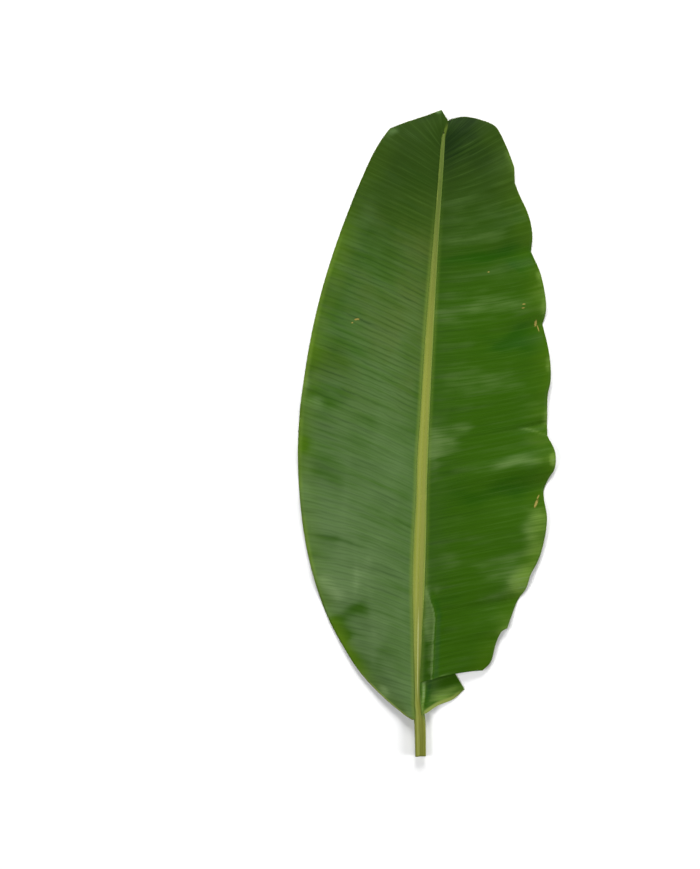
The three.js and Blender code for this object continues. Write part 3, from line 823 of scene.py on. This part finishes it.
def margin_layer(board, colours):
    """Yellower green toward the edge, and the light rims of the left half and of the strip."""
    root, rim, y, left, strip, patch = board.root, board.rim, board.y, board.left, board.strip, board.patch
    mottle = board.noise(board.spot, 11.0, 2.0).within(0.3, 0.66)
    glow = rim.within(0.05, -0.012) * (0.34 + left * 0.16) * y.within(0.62, 0.3) * (1.0 - strip)
    glow = glow * (0.2 + patch * 0.3 + mottle * 0.75)
    low_left = left * root.within(0.03, 0.07) * root.within(0.15, 0.11)
    glow = glow + rim.within(0.034, 0.002) * low_left * 0.5
    board.coat(glow, colours.edge_glow)
    lit = board.noise(board.spot, 14.0, 2.0).within(0.4, 0.62)
    margin = rim.within(0.011, 0.0) * left * root.within(0.12, 0.22) * root.within(0.82, 0.7)
    board.coat(margin * (0.3 + lit * 0.45), colours.margin)
    board.coat(rim.within(0.0016, 0.0002) * (0.15 + 0.5 * patch), colours.edge)
    base = rim.within(0.009, 0.003) * strip * root.within(0.05, 0.02)
    base = base + rim.within(0.008, 0.0012) * left * root.within(0.07, 0.02)
    board.coat(base.within(0.0, 1.0) * 0.75, colours.base_edge)


def tip_thread(board):
    """Share of the last thread of the midrib, which runs out to the tip."""
    y = MIDRIB_TIP - 6.0
    x = float(along(CENTRE, np.array(y)))
    run = math.dist((x, y), TIP_NOTCH) * MM
    forward, aside = board.turned_at(x, y, math.degrees(math.atan2(TIP_NOTCH[1] - y, TIP_NOTCH[0] - x)))
    share = abs(aside) / (0.0042 - forward * 0.06)
    return share.within(1.0, 0.35) * forward.within(-0.006, 0.0) * forward.within(run, run * 0.5)


def scar_mask(board):
    """Share of the tan marks."""
    wobble = board.noise(board.spot, 420.0, 3.0) - 0.5
    marks = []
    for sx, sy, length, width, turn in SCARS:
        a, b = board.turned_at(sx, sy, turn)
        a = a / (length * MM)
        b = b / (width * MM)
        marks.append(((a * a + b * b) ** 0.5 + wobble * 1.1).within(1.15, 0.55))
    total = marks[0]
    for mark in marks[1:]:
        total = total.larger(mark)
    return total


def upper_skin(colours):
    """Waxy pleated green with painted sheen and shade, fine dark veins, a yellower edge and a few tan marks.
    """
    board = UpperBoard("upper_skin")
    sheen_and_shade_layer(board, colours)
    vein_layer(board, colours)
    margin_layer(board, colours)
    board.coat(tip_thread(board), colours.rib_tip)
    scar = scar_mask(board)
    board.coat(scar.within(0.05, 0.5) * 0.85, colours.scar)
    board.coat(scar.within(0.6, 1.0) * 0.8, colours.scar_light)
    gloss = 0.42 + board.patch * 0.08 + board.streak * 0.06 + scar * 0.2
    relief = board.main * 0.12 + board.streak * 0.3 + board.hair * 0.2
    normal = board.bump(relief, 0.0006, 0.3)
    normal = board.bump(board.noise(board.spot, 45.0, 3.0), 0.003, 0.22, normal)
    board.surface(Roughness=gloss, Normal=normal, IOR=1.38, Specular_IOR_Level=0.07)
    return board.material


def under_skin(colours):
    """Paler waxy underside with raised veins."""
    board = BladeBoard("under_skin")
    hair = board.drawn_noise(1100.0, 14.0, 2.0)
    cloud = board.noise(board.spot, 9.0, 4.0)
    main, half = board.vein_waves((board.root * 43.5).sine() * 0.0016, 0.0)
    board.colour = board.blend(cloud.within(0.25, 0.75), colours.under_green, colours.under_pale)
    board.coat((1.0 - main) ** 5.0 * 0.75, colours.collar)
    board.coat(half ** 6.0 * 0.3, colours.collar)
    board.coat(board.streak.within(0.5, 0.8) * 0.3, colours.under_pale)
    board.coat(hair.within(0.45, 0.2) * 0.3, colours.under_green)
    board.coat(board.out.within(0.016, 0.0) * 0.6, colours.collar)
    board.coat(board.rim.within(0.004, 0.0005) * 0.7, colours.edge)
    bloom_and_sheen = board.noise(board.spot, 260.0, 2.0).within(0.3, 0.7)
    board.coat(bloom_and_sheen * 0.16, colours.under_bloom)
    relief = (1.0 - main) ** 4.0 + half ** 4.0 * 0.4 + board.streak * 0.3 + hair * 0.25
    board.surface(Roughness=0.5 + cloud * 0.15, Normal=board.bump(relief, 0.0012, 0.6), IOR=1.42)
    return board.material


def rib_skin(colours):
    """Yellow-green fibrous skin, light in the blade's middle, olive on the stalk, with painted highlights
    and shade.
    """
    board = Board("rib_skin")
    across, length, height = board.parts(board.field("fibre"))
    thread = board.noise(board.vector(across * 900.0, length * 6.0, height * 900.0), 1.0, 3.0)
    strand = board.noise(board.vector(across * 2600.0, length * 22.0, height * 2600.0), 1.0, 2.0)
    cloud = board.noise(board.place(), 30.0)
    stalk = length.within(0.012, -0.02)
    tip = length.within(0.5, 0.98)
    board.colour = board.blend(tip, colours.rib, colours.rib_tip)
    aside = board.field("aside", "Fac")
    shoulder = aside.within(0.5, 1.05) * (1.0 - stalk)
    board.coat(shoulder * 0.75, colours.rib_edge)
    flank = aside.within(0.35, 0.9) * (1.0 - stalk) * length.within(0.14, 0.05)
    board.coat(flank * 0.8, colours.rib_low)
    board.coat(stalk * 0.75, colours.stalk)
    board.coat(thread.within(0.5, 0.75) * 0.45, colours.rib_light_and_highlight)
    board.coat(thread.within(0.45, 0.2) * 0.3, colours.stalk)
    board.coat(strand.within(0.4, 0.15) * 0.25, colours.stalk)
    # Painted highlight on the left lip of the stalk, and painted shade along its groove.
    ridge = abs(across + 0.0045).within(0.0022, 0.0)
    board.coat(ridge * stalk * 0.5, colours.rib_light_and_highlight)
    groove_shade = abs(across + 0.0004).within(0.0012, 0.0001)
    board.coat(groove_shade * stalk * 0.3, colours.groove_shade_and_brown)
    board.coat(cloud.within(0.6, 0.75) * 0.2, colours.rib_light_and_highlight)
    # Painted highlight: a thin pale line along the lower midrib.
    shine_line = abs(across - 0.0009).within(0.0016, 0.0003) * length.within(0.02, 0.06) * length.within(0.2, 0.15)
    board.coat(shine_line * 0.7, colours.rib_shine)
    keel = board.field("raised", "Fac").within(0.5, 0.12)
    board.coat(keel * 0.5, colours.under_pale)
    relief = thread * 0.5 + strand * 0.35
    normal = board.bump(relief, 0.0007, 0.5)
    board.surface(Roughness=0.42 + thread * 0.14, Normal=normal, IOR=1.42, Specular_IOR_Level=0.25)
    return board.material


def cut_face(colours):
    """Pale cut through the stalk with air channels and browned spots."""
    board = Board("cut_face")
    across, _, height = board.parts(board.field("fibre"))
    flat = board.vector(across, height, 0.0)
    cells = board.add(
        "ShaderNodeTexVoronoi", {"feature": "DISTANCE_TO_EDGE"},
        {"Vector": flat, "Scale": 520.0}, "Distance",
    )
    wall = cells.within(0.16, 0.03)
    dots = board.add("ShaderNodeTexVoronoi", None, {"Vector": flat, "Scale": 1300.0}, "Distance")
    board.colour = board.blend(wall, colours.cut_hollow, colours.cut)
    board.coat(dots.within(0.35, 0.1) * 0.4, colours.groove_shade_and_brown)
    browned = board.noise(flat, 260.0, 3.0).within(0.5, 0.75) * 0.5
    board.coat(browned, colours.cut_brown)
    board.surface(Roughness=0.7, Normal=board.bump(wall, 0.0006, 0.7))
    return board.material


def floor_paint(colour):
    """Plain dull floor with a barely seen grain."""
    board = Board("floor_paint")
    grain = board.noise(board.place(), 40.0)
    board.colour = board.blend(grain, tuple(0.985 * c for c in colour), colour)
    board.surface(Roughness=0.85, Normal=board.bump(grain, 0.0004, 0.05), Specular_IOR_Level=0.1)
    return board.material


# Settings, operators and panel


def tint(label, text, default):
    """A colour that a user can change."""
    return FloatVectorProperty(
        name=label, description=text, subtype="COLOR", size=3, min=0.0, max=1.0, default=default,
    )


def paint(label, text, *screen):
    """A tint given in parts of 255."""
    return tint(label, text, linear(*screen))


def lamp_power(label, text, default):
    """The power of a light, in watts."""
    return FloatProperty(name=label, description=text, default=default, min=0.0, max=2000.0)


class LeafSizes(bpy.types.PropertyGroup):
    blade_thickness: FloatProperty(
        name="Blade thickness", description="Thickness of the blade away from its edge",
        default=0.0006, min=0.0003, max=0.002, unit="LENGTH", precision=4,
    )
    row_pitch: FloatProperty(
        name="Row pitch", description="Distance between the mesh rows",
        default=0.0016, min=0.0008, max=0.01, unit="LENGTH", precision=4,
    )
    columns: IntProperty(
        name="Columns", description="Mesh columns from the midrib to the edge", default=46, min=8, max=90,
    )


class LeafColours(bpy.types.PropertyGroup):
    green: paint("Green", "Main green on top", 43, 78, 3)
    # The next four tints are painted light: the first is painted shade in the hollows, the other three
    # painted sheen on the crests.
    shade_green: paint("Deep green", "Deep green in the hollows", 30, 69, 1)
    warm_sheen: paint("Warm green", "Yellower bloom near the right edge", 96, 124, 50)
    sheen_grey: paint("Grey green", "Dull pale bloom on the crests", 83, 108, 63)
    pale_sheen: paint("Pale bloom", "Palest bloom on the highest crests", 124, 148, 100)
    olive: paint("Olive", "Browner patches of the left half", 76, 88, 38)
    tip_green: paint("Tip green", "Dark olive green toward the tip", 36, 57, 11)
    # Painted shade near the tip.
    tip_shade: paint("Tip shade", "Darkest green near the tip", 19, 38, 8)
    pale_green: paint("Pale green", "Green between the fine veins", 74, 104, 44)
    vein_green: paint("Vein green", "Dark green of the fine veins", 26, 54, 8)
    collar: paint("Collar", "Yellow-green beside the midrib", 104, 124, 48)
    edge_glow: paint("Edge glow", "Yellower green toward the edge", 76, 106, 10)
    margin: paint("Left margin", "Light edge of the left half", 104, 132, 46)
    edge: paint("Edge", "Thin rim of the blade", 118, 130, 52)
    base_edge: paint("Base edge", "Yellowed rim at the base", 128, 140, 70)
    scar: paint("Marks", "Small tan marks", 96, 92, 34)
    scar_light: paint("Mark centres", "Dry pale centres of the marks", 142, 130, 66)
    under_green: paint("Underside green", "Green of the underside", 88, 118, 66)
    under_pale: paint("Underside pale", "Paler green of the underside", 118, 142, 88)
    under_bloom: paint("Underside bloom", "Waxy bloom of the underside", 160, 178, 140)
    rib: paint("Midrib", "Yellow-green of the midrib", 122, 129, 46)
    # Light fibres, and the painted highlight on the stalk's left lip.
    rib_light_and_highlight: paint("Midrib light", "Light fibres of the midrib", 138, 143, 66)
    rib_edge: paint("Midrib edge", "Greener shoulders of the midrib", 90, 116, 38)
    rib_low: paint("Midrib flank", "Dark flanks near the base", 62, 88, 12)
    rib_tip: paint("Midrib tip", "Midrib near the tip", 74, 92, 30)
    # Painted highlight along the lower midrib.
    rib_shine: paint("Midrib shine", "Pale line along the lower midrib", 176, 182, 122)
    stalk: paint("Stalk", "Olive of the cut stalk", 104, 109, 27)
    # Painted shade in the stalk's groove, and the browned dots of the cut face.
    groove_shade_and_brown: paint("Groove", "Groove and browned fibres", 70, 76, 20)
    cut: paint("Cut", "Cut face of the stalk", 186, 190, 130)
    cut_hollow: tint("Cut channels", "Air channels in the cut face", (0.30, 0.34, 0.12))
    cut_brown: tint("Cut browning", "Browned parts of the cut face", (0.25, 0.17, 0.07))


class StageSettings(bpy.types.PropertyGroup):
    floor_colour: tint("Floor", "Colour of the plain floor", (0.9, 0.9, 0.9))
    key_power: lamp_power("Top light", "Power of the soft light beyond the tip", 133.0)
    sheen_power: lamp_power("Sheen light", "Power of the soft light over the left half", 44.0)
    fill_power: lamp_power("Fill light", "Power of the soft light on the right", 77.0)
    room_light: FloatProperty(
        name="Room light", description="Strength of the even light", default=0.12,
        min=0.0, max=5.0,
    )
    camera_height: FloatProperty(
        name="Camera height", description="Height of the camera over the floor", default=3.59, min=0.5,
        max=10.0, unit="LENGTH",
    )


class LEAF_OT_blade(bpy.types.Operator):
    """Build both halves of the blade and the torn strip at its base"""

    bl_idname = "leaf.blade"
    bl_label = "Blade"

    def execute(self, context):
        scene = context.scene
        skins = [upper_skin(scene.leaf_colours), under_skin(scene.leaf_colours)]
        for name, part in (("blade_left", "left"), ("blade_right", "right"), ("torn_strip", "strip")):
            blade_piece(name, part, scene.leaf_sizes, skins)
        return {"FINISHED"}


class LEAF_OT_midrib(bpy.types.Operator):
    """Build the midrib and its stalk in one piece"""

    bl_idname = "leaf.midrib"
    bl_label = "Midrib and stalk"

    def execute(self, context):
        colours = context.scene.leaf_colours
        midrib_piece([rib_skin(colours), cut_face(colours)])
        return {"FINISHED"}


class LEAF_OT_stage(bpy.types.Operator):
    """Set up the floor, the soft lights and the camera"""

    bl_idname = "leaf.stage"
    bl_label = "Stage"

    def execute(self, context):
        scene = context.scene
        stage = scene.leaf_stage
        mesh = bpy.data.meshes.new("floor")
        side = np.linspace(-FLOOR_HALF, FLOOR_HALF, FLOOR_LINES)
        points = [(x, y, -FLOOR_DROP) for y in side for x in side]
        quads = grid_quads(FLOOR_LINES, FLOOR_LINES, 0, False).tolist()
        mesh.from_pydata(points, [], quads)
        mesh.materials.append(floor_paint(stage.floor_colour))
        floor = bpy.data.objects.new("floor", mesh)
        scene.collection.objects.link(floor)
        for light, power in zip(LIGHTS, (stage.sheen_power, stage.key_power, stage.fill_power)):
            soft_light(scene, *light, power)
        world = bpy.data.worlds.new("room")
        world.use_nodes = True
        background = world.node_tree.nodes["Background"]
        background.inputs["Color"].default_value = ROOM_COLOUR
        background.inputs["Strength"].default_value = stage.room_light
        scene.world = world
        scene.view_settings.view_transform = "Standard"
        lens = bpy.data.cameras.new("camera")
        lens.lens = CAMERA_LENS
        lens.sensor_width = 36.0
        camera = bpy.data.objects.new("camera", lens)
        camera.location = (*CAMERA_PLACE, stage.camera_height)
        scene.collection.objects.link(camera)
        scene.camera = camera
        return {"FINISHED"}


def soft_light(scene, name, place, aim, size, power):
    """A round soft light at a place, turned toward its aim."""
    lamp = bpy.data.lights.new(name, "AREA")
    lamp.shape = "DISK"
    lamp.size = size
    lamp.energy = power
    light = bpy.data.objects.new(name, lamp)
    light.location = place
    away = np.array(place) - np.array(aim)
    tilt = math.acos(away[2] / np.linalg.norm(away))
    light.rotation_euler = (tilt, 0.0, math.atan2(away[1], away[0]) + math.pi / 2)
    scene.collection.objects.link(light)


class LEAF_PT_panel(bpy.types.Panel):
    """Sizes, colours and steps of the leaf"""

    bl_idname = "LEAF_PT_panel"
    bl_label = "Banana Leaf"
    bl_space_type = "VIEW_3D"
    bl_region_type = "UI"
    bl_category = "Leaf"

    def draw(self, context):
        scene = context.scene
        for group in (scene.leaf_sizes, scene.leaf_colours, scene.leaf_stage):
            box = self.layout.box()
            for key in group.bl_rna.properties.keys():
                if key not in ("rna_type", "name"):
                    box.prop(group, key)
        for name in ("leaf.blade", "leaf.midrib", "leaf.stage"):
            self.layout.operator(name)


CLASSES = (
    LeafSizes, LeafColours, StageSettings, LEAF_OT_blade, LEAF_OT_midrib, LEAF_OT_stage, LEAF_PT_panel,
)


def register():
    for kind in CLASSES:
        bpy.utils.register_class(kind)
    bpy.types.Scene.leaf_sizes = PointerProperty(type=LeafSizes)
    bpy.types.Scene.leaf_colours = PointerProperty(type=LeafColours)
    bpy.types.Scene.leaf_stage = PointerProperty(type=StageSettings)


def unregister():
    del bpy.types.Scene.leaf_stage
    del bpy.types.Scene.leaf_colours
    del bpy.types.Scene.leaf_sizes
    for kind in reversed(CLASSES):
        bpy.utils.unregister_class(kind)


def main():
    register()
    bpy.ops.leaf.blade()
    bpy.ops.leaf.midrib()
    bpy.ops.leaf.stage()
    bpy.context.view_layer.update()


if __name__ == "__main__":
    main()
